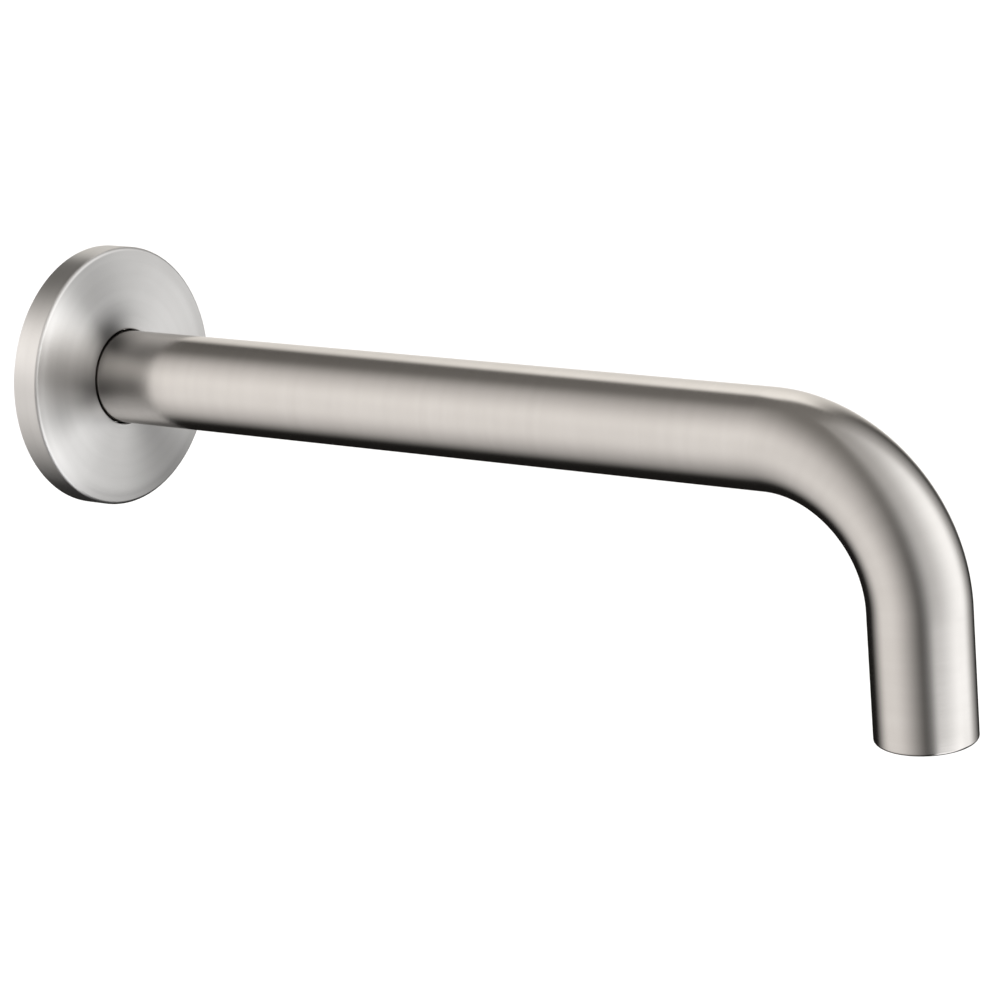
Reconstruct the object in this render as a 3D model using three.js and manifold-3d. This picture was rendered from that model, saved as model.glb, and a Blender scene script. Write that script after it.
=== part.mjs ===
// Wall mounted bath spout: a bent tube that slides over a brass nipple in the wall, a loose wall
// flange and a recessed aerator. Millimetres, +Z up. The origin is on the inlet axis at the wall
// face, +Y goes into the wall and the spout reaches out along -Y.
import * as THREE from "three";
import { mergeVertices } from "three/addons/utils/BufferGeometryUtils.js";
import Module from "manifold-3d";

// Spout tube
const REACH = 250; // wall face to the outlet's axis
const DROP = 70; // inlet axis down to the outlet face
const BEND_RADIUS = 38; // on the tube's centreline
const TUBE_DIAMETER = 25;
const TUBE_WALL = 1.5;

// Wall nipple and its washer
const PIPE_THREAD_DIAMETER = 20.96; // major diameter of the half inch pipe thread
const PIPE_THREAD_LENGTH = 14;
const COLLAR_LIP = 1.5; // collar beyond the pipe thread
const COLLAR_WIDTH = 2.2;
const WASHER_THICKNESS = 1.5;
const SPIGOT_LENGTH = 32;
const NIPPLE_WALL = 1; // metal left under an O-ring groove
const KEY_WALL = 1; // metal left outside the key socket's corners
const KEY_DEPTH = 8;
const CHAMFER = 1;

// O-rings of the spigot
const SEAL_GROOVE_WIDTH = 2.4;
const SEAL_GROOVE_DEPTH = 1.5;
const SEAL_SPACING = 5;
const SEAL_SETBACK = 2.5; // key socket's floor back to the outer groove's middle

// Inlet socket and its lock screw
const SOCKET_WALL = 2.7;
const STOP_LIP = 1.6;
const STOP_THICKNESS = 3.7;
const LOCK_SCREW_DIAMETER = 5;
const LOCK_SCREW_OFFSET = 4.6; // flange's crown to the screw's axis
const LOCK_SCREW_SINK = 0.35; // screw's outer end below the tube's skin
const LOCK_KEY_WIDTH = 2.5;
const LOCK_KEY_DEPTH = 2;
const LOCK_CHAMFER = 0.5;

// Wall flange, its gasket and its grip ring
const FLANGE_DIAMETER = 70;
const FLANGE_RIM_HEIGHT = 8;
const FLANGE_CROWN = 1; // rise of the face from the rim to the bore
const FLANGE_EDGE_ROUND = 1;
const FLANGE_FRONT_WALL = 2.5;
const FLANGE_RIM_WALL = 5.5;
const HUB_WALL = 4.5;
const GRIP_GROOVE_WIDTH = 2.4;
const GRIP_GROOVE_DEPTH = 1.1;
const GASKET_WIDTH = 2.8;
const GASKET_GROOVE_DEPTH = 1.8;
const GASKET_STAND = 0.4; // gasket proud of the flange's back
const GASKET_EDGE = 1.4; // flange's outside to the gasket

// Outlet collar
const OUTLET_COLLAR_SETBACK = 1.5;
const OUTLET_COLLAR_WALL = 1.45;
const OUTLET_SEAT_LIP = 2.15;
const OUTLET_SEAT_THICKNESS = 2.5;

// Aerator
const SHELL_SETBACK = 2;
const SHELL_WALL = 1;
const SHELL_LIP = 1.25; // turned in under the grid
const SHELL_LIP_THICKNESS = 1.2;
const KEY_SLOTS = 4;
const KEY_SLOT_WIDTH = 1.8;
const KEY_SLOT_DEPTH = 0.8;
const GRID_THICKNESS = 1.4;
const MESH_THICKNESS = 0.3;
const CORE_THICKNESS = 2.6;
const JET_PLATE_THICKNESS = 1.2;
const STRAINER_RIM_THICKNESS = 1;
const STRAINER_RISE = 3.2;
const STRAINER_WALL = 0.6;
const STRAINER_HOLE_PITCH = 2.05;
const AERATOR_GASKET_THICKNESS = 1.2;
const AERATOR_GASKET_WIDTH = 2.1;
const PLATE_MARGIN = 1.3; // solid edge of a perforated plate
const HOLE_PITCH = 2.6;
const HOLE_DIAMETER = 1.7;
const JET_DIAMETER = 1.1;
const JETS = 12;
const JET_CIRCLE_INSET = 2.6; // plate's edge to the circle of jets
const CORE_WINDOWS = 6;
const CORE_SPOKE = 0.8; // least plastic between two windows

// Clearances
const SLIDE_GAP = 0.15; // spigot in socket, screw tip on spigot, stack in shell
const BRAZE_GAP = 0.15; // sleeve in tube
const THREAD_GAP = 0.15;
const SEAL_GAP = 0.1; // rubber in its groove
const SEAT_GAP = 0.3; // faces that rest on each other
const FLANGE_BORE_GAP = 0.45; // flange around the tube

// Fineness of the curved faces
const SIDES = 40;
const SMALL_SIDES = 30;
const HOLE_SIDES = 6;
const BEND_STEPS = 10;
const CORD_SIDES = 8;
const ROUND_STEPS = 2;
const CROWN_STEPS = 3;

// Radii that follow from the tube
const tubeRadius = TUBE_DIAMETER / 2;
const tubeBore = tubeRadius - TUBE_WALL;
const sleeveRadius = tubeBore - BRAZE_GAP;
const socketBore = sleeveRadius - SOCKET_WALL;
const spigotRadius = socketBore - SLIDE_GAP;
const sealGrooveRadius = spigotRadius - SEAL_GROOVE_DEPTH;
const nippleBore = sealGrooveRadius - NIPPLE_WALL;
const pipeThreadRadius = PIPE_THREAD_DIAMETER / 2;
const flangeRadius = FLANGE_DIAMETER / 2;
const flangeBore = tubeRadius + FLANGE_BORE_GAP;
const collarBore = sleeveRadius - OUTLET_COLLAR_WALL;
const shellRadius = collarBore - THREAD_GAP;
const shellBore = shellRadius - SHELL_WALL;
const stackRadius = shellBore - SLIDE_GAP;
const lockHoleRadius = LOCK_SCREW_DIAMETER / 2 + THREAD_GAP;

// Places along the inlet axis, out from the wall
const collarBack = WASHER_THICKNESS + SEAT_GAP;
const collarFront = collarBack + COLLAR_WIDTH;
const spigotEnd = collarFront + SPIGOT_LENGTH;
const spoutStart = collarFront + SEAT_GAP;
const outerSealAt = spigotEnd - KEY_DEPTH - SEAL_SETBACK;
const innerSealAt = outerSealAt - SEAL_SPACING;
const flangeRimFront = GASKET_STAND + FLANGE_RIM_HEIGHT;
const flangeFront = flangeRimFront + FLANGE_CROWN;
const gripAt = (spoutStart + flangeFront) / 2;
const lockScrewAt = flangeFront + LOCK_SCREW_OFFSET;

// Heights of the aerator's pieces above the outlet face, each on the one below
const gridBase = SHELL_SETBACK + SHELL_LIP_THICKNESS + SEAT_GAP;
const meshLowerBase = gridBase + GRID_THICKNESS + SEAT_GAP;
const meshMiddleBase = meshLowerBase + MESH_THICKNESS + SEAT_GAP;
const meshUpperBase = meshMiddleBase + MESH_THICKNESS + SEAT_GAP;
const coreBase = meshUpperBase + MESH_THICKNESS + SEAT_GAP;
const jetPlateBase = coreBase + CORE_THICKNESS + SEAT_GAP;
const strainerBase = jetPlateBase + JET_PLATE_THICKNESS + SEAT_GAP;
const shellTop = strainerBase + STRAINER_RIM_THICKNESS + SEAT_GAP;
const aeratorGasketBase = shellTop + SEAT_GAP;
const outletSeat = aeratorGasketBase + AERATOR_GASKET_THICKNESS + SEAT_GAP;

const wasm = await Module();
wasm.setup();

// A closed geometry as a solid that can be joined and cut.
function solid(geometry) {
  const bare = geometry.clone();
  bare.deleteAttribute("normal");
  bare.deleteAttribute("uv");
  const merged = mergeVertices(bare);
  return new wasm.Manifold(
    new wasm.Mesh({
      numProp: 3,
      vertProperties: merged.attributes.position.array,
      triVerts: new Uint32Array(merged.index.array),
    }),
  );
}

// A solid as a geometry.
function geometryOf(body) {
  const { vertProperties, triVerts } = body.getMesh();
  const geometry = new THREE.BufferGeometry();
  geometry.setAttribute("position", new THREE.BufferAttribute(vertProperties, 3));
  geometry.setIndex(new THREE.BufferAttribute(triVerts, 1));
  geometry.computeVertexNormals();
  return geometry;
}

// A geometry less each of the cutters.
function cut(geometry, cutters) {
  const left = cutters.reduce((body, cutter) => body.subtract(solid(cutter)), solid(geometry));
  return geometryOf(left);
}

// A piece turned about Y from its outline's [radius, distance along Y] points. An outline that
// starts off the axis closes on itself.
function turned(outline, sides) {
  const points = outline.map(([radius, along]) => new THREE.Vector2(radius, along));
  if (THREE.ShapeUtils.area(points) < 0) points.reverse();
  if (points[0].x > 0) points.push(points[0].clone());
  return new THREE.LatheGeometry(points, sides);
}

// A ring of rectangular section.
function band(inner, outer, from, to, sides) {
  return turned([[inner, from], [outer, from], [outer, to], [inner, to]], sides);
}

// A rubber ring of round cord, squeezed between two radii.
function cordRing(inner, outer, at, width) {
  const outline = [];
  for (let i = 0; i < CORD_SIDES; i++) {
    const angle = (2 * Math.PI * i) / CORD_SIDES;
    const radius = (inner + outer) / 2 + ((outer - inner) / 2) * Math.cos(angle);
    outline.push([radius, at + (width / 2) * Math.sin(angle)]);
  }
  return turned(outline, SIDES);
}

// A bar that cuts a hole along Z, down from the inlet axis.
function lockHoleCutter() {
  const cutter = new THREE.CylinderGeometry(lockHoleRadius, lockHoleRadius, TUBE_DIAMETER, SMALL_SIDES);
  cutter.rotateX(Math.PI / 2);
  cutter.translate(0, lockScrewAt, tubeRadius);
  return cutter;
}

// A six sided bar along Y for a key socket of a width across flats.
function keyCutter(width, from, to) {
  const corner = width / 2 / Math.cos(Math.PI / 6);
  const cutter = new THREE.CylinderGeometry(corner, corner, to - from, 6);
  cutter.translate(0, (from + to) / 2, 0);
  return cutter;
}

// Corners of a regular outline, or places on a circle.
function corners(radius, sides, centre = new THREE.Vector2()) {
  const points = [];
  for (let i = 0; i < sides; i++) {
    const angle = (2 * Math.PI * i) / sides;
    points.push(new THREE.Vector2(Math.cos(angle), Math.sin(angle)).multiplyScalar(radius).add(centre));
  }
  return points;
}

// A round plate across Y, with a hole at each of the centres.
function perforatedPlate(thickness, base, centres, holeRadius, holeSides) {
  const outline = new THREE.Shape(corners(stackRadius, SMALL_SIDES));
  outline.holes = centres.map((centre) => new THREE.Path(corners(holeRadius, holeSides, centre)));
  const plate = new THREE.ExtrudeGeometry(outline, { depth: thickness, bevelEnabled: false });
  plate.rotateX(-Math.PI / 2);
  plate.translate(0, base, 0);
  return plate;
}

// Centres of a honeycomb of holes: one in the middle and six more in each ring outward.
function honeycomb() {
  const rings = Math.floor((stackRadius - PLATE_MARGIN) / HOLE_PITCH);
  const centres = [];
  for (let column = -rings; column <= rings; column++) {
    for (let row = -rings; row <= rings; row++) {
      if (Math.abs(column + row) > rings) continue;
      const across = HOLE_PITCH * (column + row / 2);
      const along = HOLE_PITCH * row * Math.sin(Math.PI / 3);
      centres.push(new THREE.Vector2(across, along));
    }
  }
  return centres;
}

// The tube's centreline: out from the wall, a quarter bend, and down. Its parameter gives the
// straights one step each and the bend all the others.
class SpoutLine extends THREE.Curve {
  constructor() {
    super();
    this.steps = BEND_STEPS + 2;
  }

  bendAngle(t) {
    const turn = (t * this.steps - 1) / BEND_STEPS;
    return (Math.PI / 2) * THREE.MathUtils.clamp(turn, 0, 1);
  }

  getPoint(t, target = new THREE.Vector3()) {
    const angle = this.bendAngle(t);
    const first = Math.min(t * this.steps, 1);
    const last = Math.max(t * this.steps - BEND_STEPS - 1, 0);
    const out = THREE.MathUtils.lerp(spoutStart, REACH - BEND_RADIUS, first);
    const down = (DROP - BEND_RADIUS) * last;
    return target.set(
      0,
      out + BEND_RADIUS * Math.sin(angle),
      BEND_RADIUS * (1 - Math.cos(angle)) + down,
    );
  }

  getPointAt(u, target) {
    return this.getPoint(u, target);
  }

  getTangent(t, target = new THREE.Vector3()) {
    const angle = this.bendAngle(t);
    return target.set(0, Math.cos(angle), Math.sin(angle));
  }

  getTangentAt(u, target) {
    return this.getTangent(u, target);
  }
}

// The brushed tube, with the lock screw's hole in its underside.
function spoutTube() {
  const line = new SpoutLine();
  const section = new THREE.Shape(corners(tubeRadius, SIDES));
  section.holes = [new THREE.Path(corners(tubeBore, SIDES))];
  const tube = new THREE.ExtrudeGeometry(section, { extrudePath: line, steps: line.steps });
  return cut(tube, [lockHoleCutter()]);
}

// Brass sleeve in the tube's start. Its lip stops on the end of the spigot.
function inletSocket() {
  const stop = spigotEnd + SEAT_GAP;
  const end = stop + STOP_THICKNESS;
  const throat = socketBore - STOP_LIP;
  const sleeve = turned(
    [
      [socketBore + CHAMFER, spoutStart],
      [sleeveRadius, spoutStart],
      [sleeveRadius, end],
      [throat, end],
      [throat, stop],
      [socketBore, stop],
      [socketBore, spoutStart + CHAMFER],
    ],
    SIDES,
  );
  return cut(sleeve, [lockHoleCutter()]);
}

// Grub screw, its length along Y from the spigot out to the tube's skin.
function lockScrew() {
  const radius = LOCK_SCREW_DIAMETER / 2;
  const tip = spigotRadius + SLIDE_GAP;
  const end = tubeRadius - LOCK_SCREW_SINK;
  const screw = turned(
    [
      [0, tip],
      [radius - LOCK_CHAMFER, tip],
      [radius, tip + LOCK_CHAMFER],
      [radius, end - LOCK_CHAMFER],
      [radius - LOCK_CHAMFER, end],
      [0, end],
    ],
    SMALL_SIDES,
  );
  return cut(screw, [keyCutter(LOCK_KEY_WIDTH, end - LOCK_KEY_DEPTH, end + LOCK_KEY_DEPTH)]);
}

// Brass nipple: pipe thread, collar and spigot, with two O-ring grooves and a key socket.
function wallNipple() {
  const collarRadius = pipeThreadRadius + COLLAR_LIP;
  const grooves = [innerSealAt, outerSealAt].flatMap((at) => {
    const from = at - SEAL_GROOVE_WIDTH / 2;
    const to = at + SEAL_GROOVE_WIDTH / 2;
    return [[spigotRadius, from], [sealGrooveRadius, from], [sealGrooveRadius, to], [spigotRadius, to]];
  });
  const nipple = turned(
    [
      [nippleBore, -PIPE_THREAD_LENGTH],
      [pipeThreadRadius - CHAMFER, -PIPE_THREAD_LENGTH],
      [pipeThreadRadius, CHAMFER - PIPE_THREAD_LENGTH],
      [pipeThreadRadius, collarBack],
      [collarRadius, collarBack],
      [collarRadius, collarFront],
      [spigotRadius, collarFront],
      ...grooves,
      [spigotRadius, spigotEnd - CHAMFER / 2],
      [spigotRadius - CHAMFER / 2, spigotEnd],
      [nippleBore, spigotEnd],
    ],
    SIDES,
  );
  const keyWidth = 2 * (spigotRadius - KEY_WALL) * Math.cos(Math.PI / 6);
  return cut(nipple, [keyCutter(keyWidth, spigotEnd - KEY_DEPTH, spigotEnd + KEY_DEPTH)]);
}

function nippleWasher() {
  return band(pipeThreadRadius + THREAD_GAP, pipeThreadRadius + COLLAR_LIP, 0, WASHER_THICKNESS, SIDES);
}

// O-ring on the spigot, squeezed against the socket's bore.
function nippleSeal(at) {
  return cordRing(sealGrooveRadius + SEAL_GAP, socketBore - SEAL_GAP, at, SEAL_GROOVE_WIDTH - 2 * SLIDE_GAP);
}

// O-ring in the flange's hub, squeezed against the tube.
function flangeGripRing() {
  const outer = flangeBore + GRIP_GROOVE_DEPTH - SEAL_GAP;
  return cordRing(tubeRadius + SEAL_GAP, outer, gripAt, GRIP_GROOVE_WIDTH - 2 * SLIDE_GAP);
}

// Hollow flange: thick rim with the gasket's groove, slightly domed face, grooved hub.
function wallFlange() {
  const faceEdge = flangeRadius - FLANGE_EDGE_ROUND;
  const gasketOuter = flangeRadius - GASKET_EDGE + SLIDE_GAP;
  const gasketInner = flangeRadius - GASKET_EDGE - GASKET_WIDTH - SLIDE_GAP;
  const gasketFloor = GASKET_STAND + GASKET_GROOVE_DEPTH;
  const pocketRadius = flangeRadius - FLANGE_RIM_WALL;
  const pocketFloor = flangeRimFront - FLANGE_FRONT_WALL;
  const hubRadius = flangeBore + HUB_WALL;
  const gripGroove = flangeBore + GRIP_GROOVE_DEPTH;
  const gripFrom = gripAt - GRIP_GROOVE_WIDTH / 2;
  const gripTo = gripAt + GRIP_GROOVE_WIDTH / 2;
  const edge = [];
  for (let i = 0; i <= ROUND_STEPS; i++) {
    const angle = ((Math.PI / 2) * i) / ROUND_STEPS;
    edge.push([
      faceEdge + FLANGE_EDGE_ROUND * Math.cos(angle),
      flangeRimFront - FLANGE_EDGE_ROUND * (1 - Math.sin(angle)),
    ]);
  }
  const face = [];
  for (let i = 1; i <= CROWN_STEPS; i++) {
    const radius = THREE.MathUtils.lerp(faceEdge, flangeBore, i / CROWN_STEPS);
    const fall = (radius ** 2 - flangeBore ** 2) / (faceEdge ** 2 - flangeBore ** 2);
    face.push([radius, flangeFront - FLANGE_CROWN * fall]);
  }
  return turned(
    [
      [flangeRadius, GASKET_STAND],
      ...edge,
      ...face,
      [flangeBore, gripTo],
      [gripGroove, gripTo],
      [gripGroove, gripFrom],
      [flangeBore, gripFrom],
      [flangeBore, spoutStart],
      [hubRadius, spoutStart],
      [hubRadius, pocketFloor],
      [pocketRadius, pocketFloor],
      [pocketRadius, GASKET_STAND],
      [gasketInner, GASKET_STAND],
      [gasketInner, gasketFloor],
      [gasketOuter, gasketFloor],
      [gasketOuter, GASKET_STAND],
    ],
    SIDES,
  );
}

function flangeGasket() {
  const outer = flangeRadius - GASKET_EDGE;
  const front = GASKET_STAND + GASKET_GROOVE_DEPTH - SEAT_GAP;
  return band(outer - GASKET_WIDTH, outer, 0, front, SIDES);
}

// Brass ring in the outlet: the aerator's thread below, the gasket's seat above.
function outletCollar() {
  const top = outletSeat + OUTLET_SEAT_THICKNESS;
  const seatBore = collarBore - OUTLET_SEAT_LIP;
  return turned(
    [
      [collarBore, OUTLET_COLLAR_SETBACK],
      [sleeveRadius, OUTLET_COLLAR_SETBACK],
      [sleeveRadius, top],
      [seatBore, top],
      [seatBore, outletSeat],
      [collarBore, outletSeat],
    ],
    SIDES,
  );
}

// Threaded casing of the aerator, with slots for its key in the lower edge.
function aeratorShell() {
  const lipBore = shellBore - SHELL_LIP;
  const lipTop = SHELL_SETBACK + SHELL_LIP_THICKNESS;
  const casing = turned(
    [
      [lipBore, SHELL_SETBACK],
      [shellRadius, SHELL_SETBACK],
      [shellRadius, shellTop],
      [shellBore, shellTop],
      [shellBore, lipTop],
      [lipBore, lipTop],
    ],
    SMALL_SIDES,
  );
  const slots = [];
  for (let i = 0; i < KEY_SLOTS; i++) {
    const slot = new THREE.BoxGeometry(SHELL_WALL + SHELL_LIP, 2 * KEY_SLOT_DEPTH, KEY_SLOT_WIDTH);
    slot.translate(lipBore, SHELL_SETBACK, 0);
    slot.rotateY((2 * Math.PI * (i + 0.5)) / KEY_SLOTS);
    slots.push(slot);
  }
  return cut(casing, slots);
}

// Domed screen with a flat rim and a ring of holes.
function aeratorStrainer() {
  const rimTop = strainerBase + STRAINER_RIM_THICKNESS;
  const domeRadius = collarBore - OUTLET_SEAT_LIP - 2 * SEAT_GAP;
  const outer = [];
  const inner = [];
  for (let i = 0; i <= CROWN_STEPS; i++) {
    const angle = ((Math.PI / 2) * i) / CROWN_STEPS;
    const rise = STRAINER_RISE * Math.sin(angle);
    outer.push([domeRadius * Math.cos(angle), rimTop + rise]);
    inner.push([(domeRadius - STRAINER_WALL) * Math.cos(angle), rimTop - STRAINER_WALL + rise]);
  }
  outer[CROWN_STEPS][0] = 0;
  inner[CROWN_STEPS][0] = 0;
  const dome = turned(
    [
      ...inner.reverse(),
      [domeRadius - STRAINER_WALL, strainerBase],
      [stackRadius, strainerBase],
      [stackRadius, rimTop],
      ...outer,
    ],
    SMALL_SIDES,
  );
  const holeRadius = HOLE_DIAMETER / 2;
  const holeCount = Math.floor((Math.PI * domeRadius) / STRAINER_HOLE_PITCH);
  const holes = corners(domeRadius / 2, holeCount).map((centre) => {
    const hole = new THREE.CylinderGeometry(holeRadius, holeRadius, 2 * STRAINER_RISE, HOLE_SIDES);
    hole.translate(centre.x, rimTop + STRAINER_RISE, centre.y);
    return hole;
  });
  return cut(dome, holes);
}

function aeratorJetPlate() {
  const jets = corners(stackRadius - JET_CIRCLE_INSET, JETS);
  return perforatedPlate(JET_PLATE_THICKNESS, jetPlateBase, jets, JET_DIAMETER / 2, HOLE_SIDES);
}

// Mixing ring with round windows that share its face, a spoke between each two.
function aeratorCore() {
  const halfShare = Math.sin(Math.PI / CORE_WINDOWS);
  const windowCircle = (stackRadius - PLATE_MARGIN + CORE_SPOKE / 2) / (1 + halfShare);
  const windows = corners(windowCircle, CORE_WINDOWS);
  const windowRadius = windowCircle * halfShare - CORE_SPOKE / 2;
  return perforatedPlate(CORE_THICKNESS, coreBase, windows, windowRadius, 2 * HOLE_SIDES);
}

function aeratorMesh(base) {
  return perforatedPlate(MESH_THICKNESS, base, honeycomb(), HOLE_DIAMETER / 2, HOLE_SIDES);
}

function aeratorOutletGrid() {
  return perforatedPlate(GRID_THICKNESS, gridBase, honeycomb(), HOLE_DIAMETER / 2, HOLE_SIDES);
}

function aeratorGasket() {
  const outer = shellRadius - SLIDE_GAP;
  const top = aeratorGasketBase + AERATOR_GASKET_THICKNESS;
  return band(outer - AERATOR_GASKET_WIDTH, outer, aeratorGasketBase, top, SMALL_SIDES);
}

const finishes = {
  nickel: { color: 0xc8c3bc, roughness: 0.32, metalness: 1 },
  brass: { color: 0xb8965a, roughness: 0.4, metalness: 1 },
  darkSteel: { color: 0x4a4a4c, roughness: 0.45, metalness: 1 },
  screen: { color: 0x9c9c9a, roughness: 0.4, metalness: 1 },
  rubber: { color: 0x1d1d1e, roughness: 0.8, metalness: 0 },
  foam: { color: 0x3a3a3c, roughness: 0.95, metalness: 0 },
  fibre: { color: 0x8c2f26, roughness: 0.85, metalness: 0 },
  plastic: { color: 0xd9d9d4, roughness: 0.5, metalness: 0 },
};

function piece(name, geometry, finish) {
  const mesh = new THREE.Mesh(geometry, new THREE.MeshStandardMaterial(finishes[finish]));
  mesh.name = name;
  return mesh;
}

// Everything on the inlet axis: local +Y is out of the wall and local +Z is down.
const inletLine = new THREE.Group();
inletLine.rotation.x = Math.PI;
inletLine.add(
  piece("wall_nipple", wallNipple(), "brass"),
  piece("nipple_washer", nippleWasher(), "fibre"),
  piece("nipple_o_ring_inner", nippleSeal(innerSealAt), "rubber"),
  piece("nipple_o_ring_outer", nippleSeal(outerSealAt), "rubber"),
  piece("spout_tube", spoutTube(), "nickel"),
  piece("inlet_socket", inletSocket(), "brass"),
  piece("flange_grip_ring", flangeGripRing(), "rubber"),
  piece("wall_flange", wallFlange(), "nickel"),
  piece("flange_gasket", flangeGasket(), "foam"),
);

const screw = piece("lock_screw", lockScrew(), "darkSteel");
screw.position.y = lockScrewAt;
screw.rotation.x = Math.PI / 2;
inletLine.add(screw);

// Everything in the outlet: local +Y is up the tube from the outlet face.
const outletLine = new THREE.Group();
outletLine.position.set(0, REACH, DROP);
outletLine.rotation.x = -Math.PI / 2;
outletLine.add(
  piece("outlet_collar", outletCollar(), "brass"),
  piece("aerator_shell", aeratorShell(), "plastic"),
  piece("aerator_outlet_grid", aeratorOutletGrid(), "plastic"),
  piece("aerator_mesh_lower", aeratorMesh(meshLowerBase), "screen"),
  piece("aerator_mesh_middle", aeratorMesh(meshMiddleBase), "screen"),
  piece("aerator_mesh_upper", aeratorMesh(meshUpperBase), "screen"),
  piece("aerator_core", aeratorCore(), "plastic"),
  piece("aerator_jet_plate", aeratorJetPlate(), "plastic"),
  piece("aerator_strainer", aeratorStrainer(), "plastic"),
  piece("aerator_gasket", aeratorGasket(), "rubber"),
);
inletLine.add(outletLine);

const bathSpout = new THREE.Group();
bathSpout.add(inletLine);

export default bathSpout;
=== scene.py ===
from math import ceil, cos, floor, hypot, pi, radians, sin, tan

import bmesh
import bpy
from mathutils import Matrix, Vector


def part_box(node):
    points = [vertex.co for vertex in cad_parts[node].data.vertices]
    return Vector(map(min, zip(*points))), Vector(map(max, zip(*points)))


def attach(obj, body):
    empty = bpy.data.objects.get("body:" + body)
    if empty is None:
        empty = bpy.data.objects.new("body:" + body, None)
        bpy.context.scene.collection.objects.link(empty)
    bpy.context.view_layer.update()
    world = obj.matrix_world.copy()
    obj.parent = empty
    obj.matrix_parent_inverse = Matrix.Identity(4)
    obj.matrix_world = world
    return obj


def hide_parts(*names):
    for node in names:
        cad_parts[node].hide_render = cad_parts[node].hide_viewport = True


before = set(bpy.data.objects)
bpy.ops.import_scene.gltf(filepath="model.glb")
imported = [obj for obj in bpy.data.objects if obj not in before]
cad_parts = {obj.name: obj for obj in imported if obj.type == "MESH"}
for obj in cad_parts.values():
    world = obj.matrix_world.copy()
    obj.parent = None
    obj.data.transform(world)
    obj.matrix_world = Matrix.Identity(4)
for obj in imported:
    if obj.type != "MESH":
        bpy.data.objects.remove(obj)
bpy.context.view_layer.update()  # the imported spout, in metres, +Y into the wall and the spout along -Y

scene = bpy.context.scene
mm = 0.001

tubeLow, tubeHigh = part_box("spout_tube")
tubeRadius = tubeHigh.x
spoutStart = -tubeHigh.y  # where the tube begins, out from the wall
outletY = tubeLow.y + tubeRadius
outletZ = tubeLow.z


# Outlines and turned meshes. A place turns a radius, an angle and a distance along into a point.

meshing = {"cornerShare": 0.48, "cornerSteps": 4, "sides": 96, "softenAngle": 35, "tiny": 1e-9}
threadShape = {"fade": 0.6, "flank": 1.25, "crest": 0.1, "tolerance": 1e-6}


def inletPlace(radius, angle, along):
    # along runs out from the wall, angle 0 is +X and a quarter turn is up
    return Vector((radius * cos(angle), -along, radius * sin(angle)))


def outletPlace(radius, angle, along):
    # along runs up from the outlet face
    return Vector((radius * cos(angle), outletY + radius * sin(angle), outletZ + along))


def roundedCorner(before, corner, after, radius, steps):
    toBefore, toAfter = before - corner, after - corner
    half = toBefore.angle(toAfter) / 2
    longest = meshing["cornerShare"] * min(toBefore.length, toAfter.length)
    back = min(radius / tan(half), longest)
    middle = (toBefore.normalized() + toAfter.normalized()).normalized()
    centre = corner + middle * back / cos(half)
    first = corner + toBefore.normalized() * back - centre
    last = corner + toAfter.normalized() * back - centre
    fromWay, toWay, reach = first.normalized(), last.normalized(), first.length
    return [centre + fromWay.slerp(toWay, i / steps) * reach for i in range(steps + 1)]


def outlinePoints(outline, steps):
    # outline rows are radius, along, corner radius and the longest step to the next row
    rows = [(row + (0, 0))[:4] for row in outline]
    count = len(rows)
    openEnded = rows[0][0] == 0 and rows[-1][0] == 0
    points = []
    for i, (radius, along, corner, step) in enumerate(rows):
        here = Vector((radius, along))
        atEnd = openEnded and i in (0, count - 1)
        if corner and not atEnd:
            before = Vector(rows[i - 1][:2])
            after = Vector(rows[(i + 1) % count][:2])
            points += roundedCorner(before, here, after, corner, steps)
        else:
            points.append(here)
        if step and not (openEnded and i == count - 1):
            following = rows[(i + 1) % count]
            target = Vector(following[:2])
            pieces = max(1, ceil((target - points[-1]).length / step))
            start = points[-1].copy()
            keep = 1 - following[2] / max((target - start).length, meshing["tiny"])
            points += [start.lerp(target, keep * k / pieces) for k in range(1, pieces)]
    return points, openEnded


def threadRadius(radius, angle, along, thread):
    # a rounded V thread cut into the stretch from start to end
    if not thread or abs(radius - thread["radius"]) > threadShape["tolerance"]:
        return radius
    inside = min(along - thread["start"], thread["end"] - along)
    if inside <= 0:
        return radius
    fade = min(1, inside / (threadShape["fade"] * thread["pitch"]))
    phase = (along / thread["pitch"] - angle / (2 * pi)) % 1
    valley = min(1, max(0, threadShape["flank"] * abs(2 * phase - 1) - threadShape["crest"]))
    return radius + thread["depth"] * fade * valley


def turnedPiece(name, outline, place, sides=meshing["sides"], thread=None, steps=meshing["cornerSteps"]):
    points, openEnded = outlinePoints(outline, steps)
    build = bmesh.new()
    uvs = build.loops.layers.uv.new("turn")
    rings, reach = [], [0.0]
    for i, point in enumerate(points):
        if i:
            reach.append(reach[-1] + (point - points[i - 1]).length)
        if point.x < meshing["tiny"]:
            rings.append([build.verts.new(place(0, 0, point.y))] * sides)
            continue
        ring = []
        for k in range(sides):
            angle = 2 * pi * k / sides - pi / 2
            radius = threadRadius(point.x, angle, point.y, thread)
            ring.append(build.verts.new(place(radius, angle, point.y)))
        rings.append(ring)
    reach.append(reach[-1] + (points[0] - points[-1]).length)
    for i in range(len(points) - (1 if openEnded else 0)):
        j = (i + 1) % len(points)
        for k in range(sides):
            n = (k + 1) % sides
            corners = [(rings[i][k], k, i), (rings[i][n], k + 1, i),
                       (rings[j][n], k + 1, i + 1), (rings[j][k], k, i + 1)]
            seen = []
            for corner in corners:
                if corner[0] not in [c[0] for c in seen]:
                    seen.append(corner)
            face = build.faces.new([c[0] for c in seen])
            face.smooth = True
            for loop, corner in zip(face.loops, seen):
                loop[uvs].uv = (corner[1] / sides, reach[corner[2]])
    bmesh.ops.recalc_face_normals(build, faces=build.faces)
    return finished(name, build)


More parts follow.
